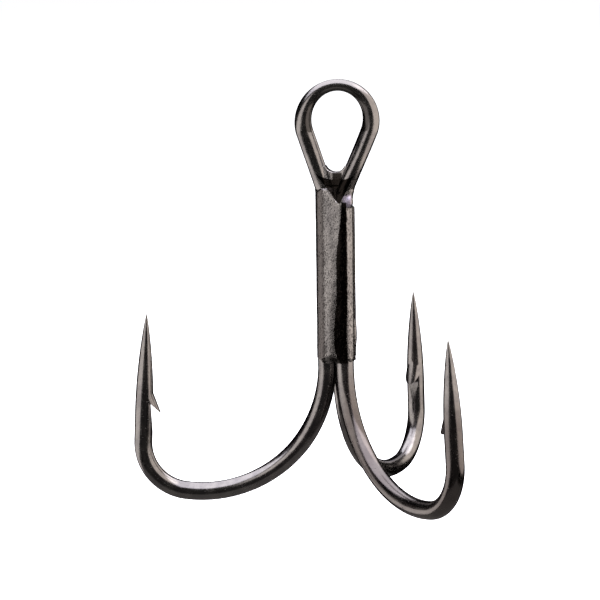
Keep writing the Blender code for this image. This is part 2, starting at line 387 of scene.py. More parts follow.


# %% A mask for the soot
# This colour is soot and painted shade together, for the hollow, the crotch and the dark front stripe.
SOOT_AND_PAINTED_SHADE = (0.011, 0.009, 0.008, 1.0)
EDGE_GRAIN = (4500, 4500, 3500)
EDGE_FRAY = 0.2
FRONT_FADE = 0.25
STRIPE_BOTTOM = 0.45
STRIPE_TOP = 13.6
STRIPE_LEFT = -0.08
STRIPE_LEFT_MOVES = ((8.5, 14.0, 0.5), (2.5, 6.5, 0.24), (0.9, 2.0, -0.2))
STRIPE_RIGHT = 0.84
STRIPE_RIGHT_MOVES = ((0.4, 2.0, -0.1), (3.0, 6.0, 0.1))
HOLLOW_BOTTOM = 13.5
HOLLOW_LEFT, HOLLOW_LEFT_SLANT = 0.15, 0.76
HOLLOW_RIGHT, HOLLOW_RIGHT_SLANT = 0.33, 0.5
HOLLOW_TOP, HOLLOW_TOP_CURVE, HOLLOW_TOP_FRAY = 15.38, 0.18, 0.3
TAB_LEFT, TAB_RIGHT = -0.28, 0.5
TAB_BOTTOM, TAB_TOP = 15.2, 15.95
TAB_STRENGTH = 0.9


def wandering_edge(height, edge, moves):
    """An edge that moves sideways by the last number of each row, between its two heights."""
    for low, high, move in moves:
        edge = height.step(low, high) * move + edge
    return edge


# A mask for soot and painted shade: the stripe is a painted dark reflection, the hollow and tab painted
# shade.
def soot_and_shade_mask(start, place):
    """1 on the stripe, the hollow above it and the small tab in the crotch, on the front only."""
    across = across_eye(start, place)
    height = up_shank(start, place)
    ragged = stretched_noise(start, place, EDGE_GRAIN, 3.0) - 0.5
    shaken = across + ragged * EDGE_FRAY
    stripe_left = wandering_edge(height, STRIPE_LEFT, STRIPE_LEFT_MOVES)
    stripe_right = wandering_edge(height, STRIPE_RIGHT, STRIPE_RIGHT_MOVES)
    stripe = between(shaken, stripe_left, stripe_right, 0.03)
    stripe = stripe * between(height, STRIPE_BOTTOM, STRIPE_TOP, 0.1)
    climb = height - HOLLOW_BOTTOM
    hollow_left = HOLLOW_LEFT - climb * HOLLOW_LEFT_SLANT
    hollow_right = HOLLOW_RIGHT + climb * HOLLOW_RIGHT_SLANT
    hollow_top = HOLLOW_TOP + across * across * HOLLOW_TOP_CURVE + ragged * HOLLOW_TOP_FRAY
    hollow = between(shaken, hollow_left, hollow_right, 0.05)
    hollow = hollow * between(height, HOLLOW_BOTTOM, hollow_top, 0.06)
    tab = between(across, TAB_LEFT, TAB_RIGHT, 0.1) * between(height, TAB_BOTTOM, TAB_TOP, 0.12)
    both = (stripe + hollow + tab * TAB_STRENGTH).step(0.0, 1.0)
    return both * before_eye(start, place).step(0.0, FRONT_FADE)


print("soot stripe in mm:", round(STRIPE_TOP - STRIPE_BOTTOM, 2))

# %% [markdown]
# ## Black nickel on drawn wire
# Drawing wire through a die leaves fine lines along it, and plating fills them only in part. A vector
# attribute holds where each point would be if the wire were straight again, so that the lines follow the
# wire round its bends. Small pits are scattered over it. The inside of the eye, which the bright panels
# don't reach, and the low side of the front right hook get painted shade, a darker colour.

# %% The wire's plating
BRIGHT_NICKEL = (0.235, 0.222, 0.215, 1.0)
DULL_NICKEL = (0.175, 0.165, 0.165, 1.0)
PIT_COLOUR = (0.09, 0.085, 0.085, 1.0)
# Painted shade for the inside of the eye.
EYE_INSIDE_SHADE = (0.03, 0.027, 0.026, 1.0)
# Painted shade for the low front right side of the right hook.
RIGHT_HOOK_SHADE_COLOUR = (0.07, 0.056, 0.052, 1.0)
DRAWN_LINES = (9.0, 9.0, 0.35)
FINE_LINES = (26.0, 26.0, 0.8)
EYE_START = -NECK_HEIGHT - 2.2
EYE_FULL = -NECK_HEIGHT - 1.6
SHADE_STRETCH = (-9.5, -1.5)
SHADE_FADE = (-1.5, 0.5)


def eye_inside(straight, lines):
    """1 on the inner side of the eye's wire, with a border along the drawn lines."""
    in_eye = 1 - straight.part(2).step(EYE_START, EYE_FULL)
    return (lines * 0.3 - straight.part(0)).step(0.12, 0.42) * in_eye


def right_hook_shade(start, place):
    """How much painted shade: 0 on most of the hook, and up to 0.65 low down on its front right side."""
    height = up_shank(start, place)
    front_right = across_eye(start, place).step(0.0, 0.8) * before_eye(start, place).step(0.0, 1.0)
    shade_strength = between(height, *SHADE_STRETCH, 1.5) * 0.35 + (1 - height.step(*SHADE_FADE)) * 0.3
    return front_right * shade_strength


def plated_wire():
    made, shader, start = new_material("black_nickel_wire")
    straight = start.node("ShaderNodeAttribute", {"attribute_name": "straight_wire"}, output=1)
    place = start.node("ShaderNodeTexCoord", output=3)
    lines = stretched_noise(start, straight, DRAWN_LINES, 4.0)
    fine_lines = stretched_noise(start, straight, FINE_LINES, 2.0)
    cloud = noise(start, straight, 0.9, 3.0)
    pits = noise(start, straight, 6.5, 2.0).step(0.66, 0.74)
    tone = cloud.step(0.35, 0.65).mixed(DULL_NICKEL, BRIGHT_NICKEL)
    pitted = (pits * 0.8).mixed(tone, PIT_COLOUR)
    # Painted shade on the inside of the eye, which the bright panels don't reach.
    darkened = (eye_inside(straight, lines) * 0.85).mixed(pitted, EYE_INSIDE_SHADE)
    # Painted shade darkens the low front right side of the right hook.
    right_hook_shaded = right_hook_shade(start, place).mixed(darkened, RIGHT_HOOK_SHADE_COLOUR)
    # Soot and painted shade darken the base colour through this mask.
    soot_and_shade_mask(start, place).mixed(right_hook_shaded, SOOT_AND_PAINTED_SHADE).into(shader, "Base Color")
    worn = lines.step(0.45, 0.7) * 0.07 + cloud.step(0.4, 0.7) * 0.05
    (worn + pits * 0.2 + 0.17).into(shader, "Roughness")
    relief = lines * 0.5 + fine_lines * 0.3 - pits * 0.8
    bump = start.node("ShaderNodeBump", Height=relief, Strength=0.35, Distance=0.02 * MM)
    bump.into(shader, "Normal")
    shader.inputs["Metallic"].default_value = 1.0
    return made


WIRE_FINISH = plated_wire()

# %% [markdown]
# ## One hook
# The hook is drawn as a person would bend it. A disc of the wire's section is extruded down the shank,
# spun round the wide bend, spun round the tight bend, and extruded along the spear in short steps that
# shrink it to the point. It is modelled once, standing out along X, and copied for the other two.

# %% Where the bends and the spear lie
def towards_middle(angle):
    """The way from the wire to the middle of its bend, once it has turned by an angle."""
    return Vector((math.cos(angle), 0, math.sin(angle)))


wide_centre = Vector((WIDE_BEND_RADIUS, 0, 0))
wide_end = wide_centre - towards_middle(WIDE_BEND_ANGLE) * WIDE_BEND_RADIUS
tight_centre = wide_end + towards_middle(WIDE_BEND_ANGLE) * TIGHT_BEND_RADIUS
spear_heading = WIDE_BEND_ANGLE + TIGHT_BEND_ANGLE
spear_inward = towards_middle(spear_heading)
spear_start = tight_centre - spear_inward * TIGHT_BEND_RADIUS
spear_way = Vector((math.sin(spear_heading), 0, -math.cos(spear_heading)))
point = spear_start + spear_way * SPEAR_LENGTH
print("point in mm:", [round(value, 2) for value in point])

# %% Bend the wire
WIRE_SIDES = 40
SHANK_STEPS = 12
WIDE_BEND_STEPS = 48
TIGHT_BEND_STEPS = 36
SPEAR_STEPS = 30
STEP_CROWDING = 1.35
TIP_RADIUS = 0.012


def begin_edit(piece):
    """Opens a piece in edit mode with all of it selected."""
    only(piece)
    bpy.ops.object.mode_set(mode="EDIT")
    bpy.ops.mesh.select_all(action="SELECT")


def end_edit():
    bpy.ops.object.mode_set(mode="OBJECT")


def extrude_by(step):
    bpy.ops.mesh.extrude_region_move(TRANSFORM_OT_translate={"value": step})


def resize_at(centre, factor):
    bpy.ops.transform.resize(value=(factor, factor, factor), center_override=centre)


def spin_round(centre, angle, steps):
    bpy.ops.mesh.spin(steps=steps, angle=angle, center=centre, axis=(0, 1, 0))


def point_radius(from_point):
    share = min(from_point / POINT_TAPER_LENGTH, 1.0)
    return WIRE_RADIUS * math.sin(share * math.pi / 2) ** POINT_FULLNESS


def new_disc(name, radius, location, rotation=(0, 0, 0)):
    bpy.ops.object.select_all(action="DESELECT")
    bpy.ops.mesh.primitive_circle_add(
        vertices=WIRE_SIDES, radius=radius, fill_type="NGON", location=location, rotation=rotation
    )
    bpy.ops.object.transform_apply(location=True, rotation=True, scale=True)
    bpy.context.object.name = name
    return bpy.context.object


hook = new_disc("hook", WIRE_RADIUS, (0, 0, HOOK_TOP))
begin_edit(hook)
for _ in range(SHANK_STEPS):
    extrude_by((0, 0, -HOOK_TOP / SHANK_STEPS))
spin_round(wide_centre, WIDE_BEND_ANGLE, WIDE_BEND_STEPS)
spin_round(tight_centre, TIGHT_BEND_ANGLE, TIGHT_BEND_STEPS)

travelled = 0.0
radius = WIRE_RADIUS
for step in range(1, SPEAR_STEPS + 1):
    share = 1 - (1 - step / SPEAR_STEPS) ** STEP_CROWDING
    reach = SPEAR_LENGTH * share
    extrude_by(spear_way * (reach - travelled))
    new_radius = max(point_radius(SPEAR_LENGTH - reach), TIP_RADIUS)
    resize_at(spear_start + spear_way * reach, new_radius / radius)
    travelled, radius = reach, new_radius
end_edit()
print("hook faces:", len(hook.data.polygons))

# %% [markdown]
# ## The barb
# A barb is a chip of the wire's own inner side: a chisel cuts in at a shallow slant and lifts it. So a
# long shallow notch is cut with a Boolean. The chip is a length of the same round wire, bisected on a
# slant and again underneath to a thin sliver, and turned up about its root, so that it keeps the wire's
# rounded back. Both are modelled with X back from the point and Z in towards the shank.

# %% Cut the notch
BARB_ROOT = 6.95
BARB_END = 9.6
BARB_TIP = 7.95
BARB_HEIGHT = 1.4
NOTCH_FLOOR = 0.47
NOTCH_TOP = 2.5
NOTCH_HALF_WIDTH = 1.2
JUST_CLEAR = 0.01
barb_axes = Matrix((-spear_way, Vector((0, -1, 0)), spear_inward)).transposed()


def place_on_spear(piece):
    """Turns a piece of the barb to the spear and puts its zero at the point."""
    piece.matrix_world = Matrix.Translation(point) @ barb_axes.to_4x4()
    only(piece)
    bpy.ops.object.transform_apply(location=True, rotation=True, scale=True)


def apply_boolean(target, other, operation):
    only(target)
    modifier = target.modifiers.new(operation.lower(), "BOOLEAN")
    modifier.operation = operation
    modifier.solver = "EXACT"
    modifier.object = other
    bpy.ops.object.modifier_apply(modifier=modifier.name)
    bpy.data.objects.remove(other)


def new_cube(name, low, high):
    """A box between two corners, as a start or a cutter."""
    low, high = Vector(low), Vector(high)
    bpy.ops.object.select_all(action="DESELECT")
    bpy.ops.mesh.primitive_cube_add(size=1, location=(low + high) / 2)
    made = bpy.context.object
    made.name = name
    made.scale = high - low
    bpy.ops.object.transform_apply(location=True, rotation=True, scale=True)
    return made


notch = new_cube(
    "notch", (BARB_ROOT, -NOTCH_HALF_WIDTH, NOTCH_FLOOR), (BARB_END, NOTCH_HALF_WIDTH, NOTCH_TOP)
)
for corner in notch.data.vertices:
    if corner.co.z < WIRE_RADIUS and corner.co.x > (BARB_ROOT + BARB_END) / 2:
        corner.co.z = WIRE_RADIUS + JUST_CLEAR
place_on_spear(notch)
apply_boolean(hook, notch, "DIFFERENCE")
print("notch depth in mm:", round(WIRE_RADIUS - NOTCH_FLOOR, 2))

# %% Raise the chip
ROUND_SIDES = 48
CHIP_BASE = 6.0
CHIP_ROOT = 0.35
CHIP_SPARE = 0.12
CHIP_INSET = 0.004
CHIP_ROOT_DEPTH = 0.02
CHIP_CUT_START = -0.22
CHIP_UNDERSIDE = 0.12
CHIP_NARROWING = 0.93


def new_rod(vertices, radius, depth, location, rotation=(0, 0, 0)):
    """A rod, or with three sides a prism, upright until it is turned."""
    bpy.ops.object.select_all(action="DESELECT")
    bpy.ops.mesh.primitive_cylinder_add(
        vertices=vertices, radius=radius, depth=depth, location=location, rotation=rotation
    )
    bpy.ops.object.transform_apply(location=True, rotation=True, scale=True)
    return bpy.context.object


def keep_above(place, slope):
    """In edit mode, cuts away what lies under a plane that rises by its slope along X."""
    bpy.ops.mesh.select_all(action="SELECT")
    bpy.ops.mesh.bisect(plane_co=place, plane_no=(slope, 0, -1), use_fill=True, clear_outer=True)


chip_radius = point_radius(BARB_ROOT) - CHIP_INSET
chip_reach = BARB_TIP + CHIP_SPARE - CHIP_BASE
chip_middle = (CHIP_BASE + chip_reach / 2, 0, 0)
chip = new_rod(ROUND_SIDES, chip_radius, chip_reach, chip_middle, (0, math.pi / 2, 0))
begin_edit(chip)
keep_above((CHIP_BASE, 0, CHIP_CUT_START), (chip_radius - CHIP_CUT_START) / chip_reach)
keep_above((0, 0, CHIP_UNDERSIDE), 0)
end_edit()
chip.data.transform(Matrix.Diagonal((1, CHIP_NARROWING, 1, 1)))
root = Vector((CHIP_BASE + CHIP_ROOT, 0, chip_radius - CHIP_ROOT_DEPTH))
chip_lift = math.atan2(BARB_HEIGHT - chip_radius, BARB_TIP - CHIP_BASE - CHIP_ROOT)
lift = Matrix.Rotation(-chip_lift, 4, "Y")
chip.data.transform(Matrix.Translation(root) @ lift @ Matrix.Translation(-root))
print("chip tip back from the point:", round(max(vertex.co.x for vertex in chip.data.vertices), 2))
print("chip tip height:", round(max(vertex.co.z for vertex in chip.data.vertices), 2))
place_on_spear(chip)
apply_boolean(hook, chip, "UNION")
print("hook faces with its barb:", len(hook.data.polygons))

# %% [markdown]
# ## Straight-wire coordinates
# For each point of the hook the script works back along the spear, the bends and the shank to where it
# was before bending, and keeps that as an attribute for the plating to read.

# %% Unbend in numbers
BESIDE_WIRE = 2.0


def arc_place(spot, centre, bend_radius, start_angle, end_angle):
    """(angle, depth) of a spot beside a bend, or None where it is past the bend's ends."""
    out = centre.x - spot.x
    down = centre.z - spot.z
    angle = math.atan2(down, out) % math.tau
    depth = bend_radius - math.hypot(out, down)
    if start_angle <= angle <= end_angle and abs(depth) < BESIDE_WIRE:
        return angle, depth
    return None


def unbend_hook(spot):
    from_spear = spot - spear_start
    up_spear = from_spear.dot(spear_way)
    depth = from_spear.dot(spear_inward)
    bends = WIDE_BEND_RADIUS * WIDE_BEND_ANGLE
    turns = TIGHT_BEND_RADIUS * TIGHT_BEND_ANGLE
    if up_spear >= 0 and abs(depth) < BESIDE_WIRE:
        return Vector((depth, spot.y, bends + turns + up_spear))
    tight = arc_place(spot, tight_centre, TIGHT_BEND_RADIUS, WIDE_BEND_ANGLE, spear_heading)
    if tight:
        return Vector((tight[1], spot.y, bends + TIGHT_BEND_RADIUS * (tight[0] - WIDE_BEND_ANGLE)))
    wide = arc_place(spot, wide_centre, WIDE_BEND_RADIUS, 0, WIDE_BEND_ANGLE)
    if wide and spot.z < 0:
        return Vector((wide[1], spot.y, WIDE_BEND_RADIUS * wide[0]))
    return Vector((spot.x, spot.y, -spot.z))


def store_straight(piece, unbend):
    """Keeps the straight-wire place of every point as an attribute."""
    attribute = piece.data.attributes.new("straight_wire", "FLOAT_VECTOR", "POINT")
    for vertex, value in zip(piece.data.vertices, attribute.data):
        value.vector = unbend(vertex.co)
    print(piece.name, "has straight-wire places for", len(attribute.data), "points")


store_straight(hook, unbend_hook)

# %% [markdown]
# ## Three hooks round one shank
# Each copy turns to its own side and stands on its own shank. Brazing by hand leaves them a little
# uneven: the left spear is longer and the right one shorter, the right hook is spread a little more, and
# the rear one hangs a little lower.

# %% Copy and place the hooks
RIGHT_SPREAD = math.radians(2.4)
REAR_DROP = 0.39
LEFT_POINT_EXTRA = 0.34
RIGHT_POINT_EXTRA = -0.55
LEFT_AZIMUTH = math.radians(207)
RIGHT_AZIMUTH = math.radians(328.5)
NEARLY_TOP = HOOK_TOP - JUST_CLEAR


def copy_object(piece, name):
    made = piece.copy()
    made.data = piece.data.copy()
    made.name = name
    bpy.context.scene.collection.objects.link(made)
    return made


def shank_place(side):
    """Where the shank on one side of the bundle crosses the level of the bench."""
    return polar(BUNDLE_RADIUS, side + BUNDLE_TURN)


def copy_hook(name, side, azimuth, spread=0.0, drop=0.0, extra=0.0):
    """A copy of the hook on its own side. Only what is past the shank leans, drops or grows."""
    made = copy_object(hook, name)
    turn = Matrix.Rotation(azimuth, 3, "Z")
    lean = Matrix.Rotation(-spread, 3, "Y")
    shank = shank_place(side)
    for vertex in made.data.vertices:
        spot = vertex.co.copy()
        if spot.z < 0 or spot.x > WIDE_BEND_RADIUS / 2:
            share = max((spot - spear_start).dot(spear_way) / SPEAR_LENGTH, 0.0)
            spot = lean @ (spot + spear_way * extra * share) - UP * drop
        vertex.co = turn @ spot + shank
    return made


left_hook = copy_hook("left_hook", LEFT_SIDE, LEFT_AZIMUTH, extra=LEFT_POINT_EXTRA)
right_hook = copy_hook(
    "right_hook", RIGHT_SIDE, RIGHT_AZIMUTH, spread=RIGHT_SPREAD, extra=RIGHT_POINT_EXTRA
)
single_wire = copy_hook("single_wire", REAR_SIDE, REAR_SIDE, drop=REAR_DROP)
bpy.data.objects.remove(hook)
for vertex in single_wire.data.vertices:
    if vertex.co.z > NEARLY_TOP:
        vertex.co.z = REAR_WIRE_TOP
print("hooks:", left_hook.name, right_hook.name, single_wire.name)

# %% [markdown]
# ## The eye
# The eye is the same wire, hammered thinner at its crown. Half of it is spun from the crown round to the
# leg, drawn down the leg, and spun back to upright at the neck. A Mirror makes the other half. The eye
# stands turned from the shanks, so its legs are turned a little more the higher they are.

# %% Half of the eye
CROWN_STEPS = 44
LEG_STEPS = 10
NECK_STEPS = 8
eye_centre = Vector((0, 0, EYE_CENTRE_HEIGHT))
crown_top = (0, 0, EYE_CENTRE_HEIGHT + EYE_RADIUS)
eye = new_disc("eye", CROWN_WIRE_RADIUS, crown_top, (0, math.pi / 2, 0))
begin_edit(eye)
radius = CROWN_WIRE_RADIUS
turn = (math.pi / 2 + LEG_ANGLE) / CROWN_STEPS
for step in range(1, CROWN_STEPS + 1):
    spin_round(eye_centre, -turn, 1)
    thinning = math.cos(step / CROWN_STEPS * math.pi / 2) ** 2
    new_radius = EYE_SIDE_RADIUS + (CROWN_WIRE_RADIUS - EYE_SIDE_RADIUS) * thinning
    angle = turn * step
    here = eye_centre + EYE_RADIUS * Vector((math.sin(angle), 0, math.cos(angle)))
    resize_at(here, new_radius / radius)
    radius = new_radius
neck_centre = Vector((SHANK_OFFSET + NECK_BEND_RADIUS, 0, SHANK_TOP))
neck_start = neck_centre + NECK_BEND_RADIUS * Vector((-math.cos(LEG_ANGLE), 0, math.sin(LEG_ANGLE)))
for _ in range(LEG_STEPS):
    extrude_by((neck_start - here) / LEG_STEPS)
spin_round(neck_centre, LEG_ANGLE, NECK_STEPS)
resize_at(Vector((SHANK_OFFSET, 0, SHANK_TOP)), WIRE_RADIUS / EYE_SIDE_RADIUS)
end_edit()
print("half eye faces:", len(eye.data.polygons))

# %% Open its ends, raise the crown and mirror it
ON_MIRROR = 0.0001
MIRROR_WELD = 0.001
EYE_ROUND_DEPTH = 2


def drop_faces(piece, test):
    """Deletes the faces that pass a test and leaves their edges open."""
    shape = bmesh.new()
    shape.from_mesh(piece.data)
    doomed = [face for face in shape.faces if test(face)]
    bmesh.ops.delete(shape, geom=doomed, context="FACES_ONLY")
    shape.to_mesh(piece.data)
    shape.free()


drop_faces(eye, lambda face: len(face.verts) > 4)
for vertex in eye.data.vertices:
    if vertex.co.z > EYE_CENTRE_HEIGHT:
        vertex.co.z = EYE_CENTRE_HEIGHT + (vertex.co.z - EYE_CENTRE_HEIGHT) * CROWN_RISE
    if abs(vertex.co.x) < ON_MIRROR:
        vertex.co.x = 0
only(eye)
mirror = eye.modifiers.new("mirror", "MIRROR")
mirror.merge_threshold = MIRROR_WELD
bpy.ops.object.modifier_apply(modifier="mirror")


def unbend_eye(spot):
    """Straight-wire coordinates up a leg and round the crown, the same on both sides."""
    across = abs(spot.x)
    angle = math.atan2(across, spot.z - EYE_CENTRE_HEIGHT)
    if angle < math.pi / 2 + LEG_ANGLE and spot.z > EYE_CENTRE_HEIGHT - EYE_ROUND_DEPTH:
        depth = math.hypot(across, spot.z - EYE_CENTRE_HEIGHT) - EYE_RADIUS
        return Vector((depth, spot.y, -EYE_CENTRE_HEIGHT - EYE_RADIUS * (math.pi / 2 - angle)))
    return Vector((across - SHANK_OFFSET, spot.y, -spot.z))


store_straight(eye, unbend_eye)


# %% Turn the eye onto its shanks
def clamped(value):
    return min(max(value, 0.0), 1.0)


def eye_turn(height):
    """The turn of the bundle at the shank's top, growing smoothly to the turn of the eye."""
    share = clamped((height - SHANK_TOP) / (EYE_CENTRE_HEIGHT - SHANK_TOP))
    return BUNDLE_TURN + (EYE_TURN - BUNDLE_TURN) * share * share * (3 - 2 * share)


for vertex in eye.data.vertices:
    vertex.co.x += math.tan(EYE_LEAN) * max(vertex.co.z - EYE_LEAN_START, 0)
    vertex.co.y -= BUNDLE_RADIUS / 2
    vertex.co = Matrix.Rotation(eye_turn(vertex.co.z), 3, "Z") @ vertex.co
print("eye faces:", len(eye.data.polygons))

# %% [markdown]
# ## One wire from point to point
# The eye and the two front hooks are the same piece of wire. They are joined into one object, and the
# open rings of the eye and the shanks are bridged. A known fault is left here: edges are picked by their
# distance from a shank, and the next wire stands so close that a few edges of its ring pass as well. The
# bridge then leaves stray faces inside the braze, and the right hook's faces end up pointing inwards.
# Picking each ring as a connected loop would avoid it.

# %% Join and bridge the double wire
SHANK_MARGIN = 1.1
for front_hook in (left_hook, right_hook):
    drop_faces(front_hook, lambda face: face.calc_center_median().z > NEARLY_TOP)
only(eye, left_hook, right_hook)
bpy.ops.object.join()
double_wire = eye
double_wire.name = "double_wire"


def pick_edges(piece, test):
    """In edit mode, selects only the edges that pass a test."""
    bpy.ops.mesh.select_mode(type="EDGE")
    bpy.ops.mesh.select_all(action="DESELECT")
    shape = bmesh.from_edit_mesh(piece.data)
    for edge in shape.edges:
        if test(edge):
            edge.select_set(True)
    bmesh.update_edit_mesh(piece.data)


def stands_on(edge, shank):
    """True where both ends of an edge lie near a shank. A few edges of the next ring pass too."""
    reach = WIRE_RADIUS * SHANK_MARGIN
    return all((vertex.co.xy - shank.xy).length < reach for vertex in edge.verts)


for side in (LEFT_SIDE, RIGHT_SIDE):
    shank = shank_place(side)
    begin_edit(double_wire)
    pick_edges(double_wire, lambda edge: edge.is_boundary and stands_on(edge, shank))
    bpy.ops.mesh.bridge_edge_loops()
    end_edit()
print("double wire faces:", len(double_wire.data.polygons))

# %% [markdown]
# ## The braze
# Molten braze ran into the grooves between the three shanks and skinned over them. It starts as a copy of
# the wires, cut to the brazed stretch and fattened a little. A rounded three-sided bar fills the grooves,
# a web closes the crotch of the eye, and two blobs and a rod stand for runs. A voxel remesh melts them
# into one body, a Smooth modifier lets it flow, and small moves of its points make it lumpy.

# %% Coat the wires
BRAZE_BOTTOM = 0.38
COAT_TOP = 14.8
COAT_THICKNESS = 0.05
SHANK_REACH = 3.0


def cut_away(piece, height, way_up):
    """Removes all above a level, or all below it where the way up is -1, and closes the cut."""
    begin_edit(piece)
    bpy.ops.mesh.bisect(
        plane_co=(0, 0, height), plane_no=(0, 0, way_up), use_fill=True, clear_outer=True
    )
    end_edit()


braze = copy_object(double_wire, "braze")
rear_coat = copy_object(single_wire, "rear_coat")
only(braze, rear_coat)
bpy.ops.object.join()
cut_away(braze, BRAZE_BOTTOM, -1)
cut_away(braze, COAT_TOP, 1)
begin_edit(braze)
bpy.ops.mesh.select_mode(type="VERT")
bpy.ops.mesh.select_all(action="DESELECT")
shape = bmesh.from_edit_mesh(braze.data)
for vertex in shape.verts:
    vertex.select_set(vertex.co.xy.length > SHANK_REACH)
bmesh.update_edit_mesh(braze.data)
bpy.ops.mesh.delete(type="VERT")
bpy.ops.mesh.select_all(action="SELECT")
bpy.ops.mesh.normals_make_consistent(inside=False)
bpy.ops.transform.shrink_fatten(value=COAT_THICKNESS)
end_edit()
print("coat faces:", len(braze.data.polygons))

# %% Fill the grooves with a rounded bar
BAR_TOP_GAP = 0.15
CORNER_STEPS = 16
coat_radius = WIRE_RADIUS + COAT_THICKNESS
face_distance = BUNDLE_RADIUS / 2 + coat_radius
bar_height = COAT_TOP - BAR_TOP_GAP - BRAZE_BOTTOM
bar_middle = (0, 0, BRAZE_BOTTOM + bar_height / 2)
bpy.ops.object.select_all(action="DESELECT")
bpy.ops.mesh.primitive_cylinder_add(
    vertices=3, radius=2 * face_distance, depth=bar_height, location=bar_middle
)
bar = bpy.context.object
begin_edit(bar)
pick_edges(bar, lambda edge: abs(edge.verts[0].co.z - edge.verts[1].co.z) > bar_height / 2)
bpy.ops.mesh.bevel(
    offset=coat_radius * math.sqrt(3),
    offset_type="OFFSET",
    segments=CORNER_STEPS,
    affect="EDGES",
    clamp_overlap=False,
)
end_edit()
bpy.ops.object.transform_apply(location=True, rotation=True, scale=True)
unturned_shanks = [polar(BUNDLE_RADIUS, side) for side in (REAR_SIDE, LEFT_SIDE, RIGHT_SIDE)]
for vertex in bar.data.vertices:
    shank = min(unturned_shanks, key=lambda corner: (corner.xy - vertex.co.xy).length)
    vertex.co.xy = shank.xy + (vertex.co.xy - shank.xy).normalized() * coat_radius
bar_reach = max(vertex.co.xy.length for vertex in bar.data.vertices)
print("bar reach:", round(bar_reach, 3), "wanted:", round(BUNDLE_RADIUS + coat_radius, 3))

# %% [markdown]
# ## The ends of the braze
# At the bottom the braze draws back between the shanks in a small arch over each groove. At the top the
# front groove opens in a V, and the third wire ends lower than the eye's neck. Each is cut from the bar
# with a Boolean while the bar still stands unturned, and the bar is turned to the shanks last.

# %% Shape the ends of the bar
ARCH_RADIUS = 0.62
ARCH_DISTANCE = 2.5
ARCH_LENGTH = 4.2
V_BOTTOM = 13.4
V_SIZE = 3.0
V_DEPTH = 2.0
V_WIDENING = 1.15
V_SHIFT = 0.6
V_GAP = 0.25
REAR_BRAZE_TOP = 13.9
REAR_CUT_START = 0.45
LEG_PLANE = -BUNDLE_RADIUS / 2

for groove in (RIGHT_GROOVE, LEFT_GROOVE, FRONT_GROOVE):
    place = polar(ARCH_DISTANCE, groove, BRAZE_BOTTOM)
    outwards = (math.pi / 2, 0, groove + math.pi / 2)
    apply_boolean(bar, new_rod(ROUND_SIDES, ARCH_RADIUS, ARCH_LENGTH, place, outwards), "DIFFERENCE")

v_cutter = new_rod(3, V_SIZE, V_DEPTH, (0, 0, 0), (-math.pi / 2, 0, 0))
lowest = min(vertex.co.z for vertex in v_cutter.data.vertices)
for vertex in v_cutter.data.vertices:
    vertex.co.x = vertex.co.x * V_WIDENING + V_SHIFT
    vertex.co.y += LEG_PLANE - V_GAP - V_DEPTH / 2
    vertex.co.z += V_BOTTOM - lowest
apply_boolean(bar, v_cutter, "DIFFERENCE")
rear_cut_low = (-SHANK_REACH, LEG_PLANE + REAR_CUT_START, REAR_BRAZE_TOP)
rear_cut_high = (SHANK_REACH, SHANK_REACH + 1, COAT_TOP + 1)
apply_boolean(bar, new_cube("above_rear", rear_cut_low, rear_cut_high), "DIFFERENCE")
bar.data.transform(Matrix.Rotation(BUNDLE_TURN, 4, "Z"))
print("bar faces:", len(bar.data.polygons))

# %% Close the crotch
WEB_LOW = 12.6
WEB_HIGH = 16.5
WEB_HALF_WIDTH = 1.2
WEB_HALF_THICKNESS = 0.4
WEB_FOOT_TOP = 13
WEB_FOOT_NARROWING = 0.5
WEB_FOOT_THICKENING = 1.75
OPENING_RADIUS = 0.88
OPENING_BOTTOM = 15.97
OPENING_SHIFT = 0.08
OPENING_SIDES = 64
OPENING_LENGTH = 3

web = new_cube(
    "web",
    (-WEB_HALF_WIDTH, LEG_PLANE - WEB_HALF_THICKNESS, WEB_LOW),
    (WEB_HALF_WIDTH, LEG_PLANE + WEB_HALF_THICKNESS, WEB_HIGH),
)
opening_place = (OPENING_SHIFT, LEG_PLANE, OPENING_BOTTOM + OPENING_RADIUS)
across_web = (math.pi / 2, 0, 0)
opening = new_rod(OPENING_SIDES, OPENING_RADIUS, OPENING_LENGTH, opening_place, across_web)
apply_boolean(web, opening, "DIFFERENCE")
for vertex in web.data.vertices:
    if vertex.co.z < WEB_FOOT_TOP:
        vertex.co.x *= WEB_FOOT_NARROWING
        vertex.co.y = LEG_PLANE + (vertex.co.y - LEG_PLANE) * WEB_FOOT_THICKENING
    vertex.co = Matrix.Rotation(eye_turn(vertex.co.z), 3, "Z") @ vertex.co
print("web faces:", len(web.data.polygons))

# %% Add the runs
FRONT_RUN_PLACE = polar(1.5, math.radians(336), 13.62)
FRONT_RUN_SIZE = (0.42, 0.42, 0.55)
RIGHT_RUN_PLACE = polar(0.95, math.radians(14), 2.7)
RIGHT_RUN_SIZE = (0.66, 0.66, 2.4)
RIGHT_FILL_PLACE = polar(0.82, math.radians(18), 6.8)
RIGHT_FILL_RADIUS = 0.8
RIGHT_FILL_LENGTH = 12.6
RIGHT_FILL_PINCH = 0.94


def blob(name, place, size):
    """A run of braze: a round lump, squeezed to its size along each axis."""
    bpy.ops.object.select_all(action="DESELECT")
    bpy.ops.mesh.primitive_ico_sphere_add(subdivisions=4, radius=1, location=place)
    made = bpy.context.object
    made.name = name
    made.scale = size
    bpy.ops.object.transform_apply(location=True, rotation=True, scale=True)
    return made


front_run = blob("front_run", FRONT_RUN_PLACE, FRONT_RUN_SIZE)
right_run = blob("right_run", RIGHT_RUN_PLACE, RIGHT_RUN_SIZE)
right_fill = new_rod(ROUND_SIDES, RIGHT_FILL_RADIUS, RIGHT_FILL_LENGTH, RIGHT_FILL_PLACE)
for vertex in right_fill.data.vertices:
    vertex.co.xy *= RIGHT_FILL_PINCH
only(braze, bar, web, front_run, right_run, right_fill)
bpy.ops.object.join()
print("faces to melt:", len(braze.data.polygons))

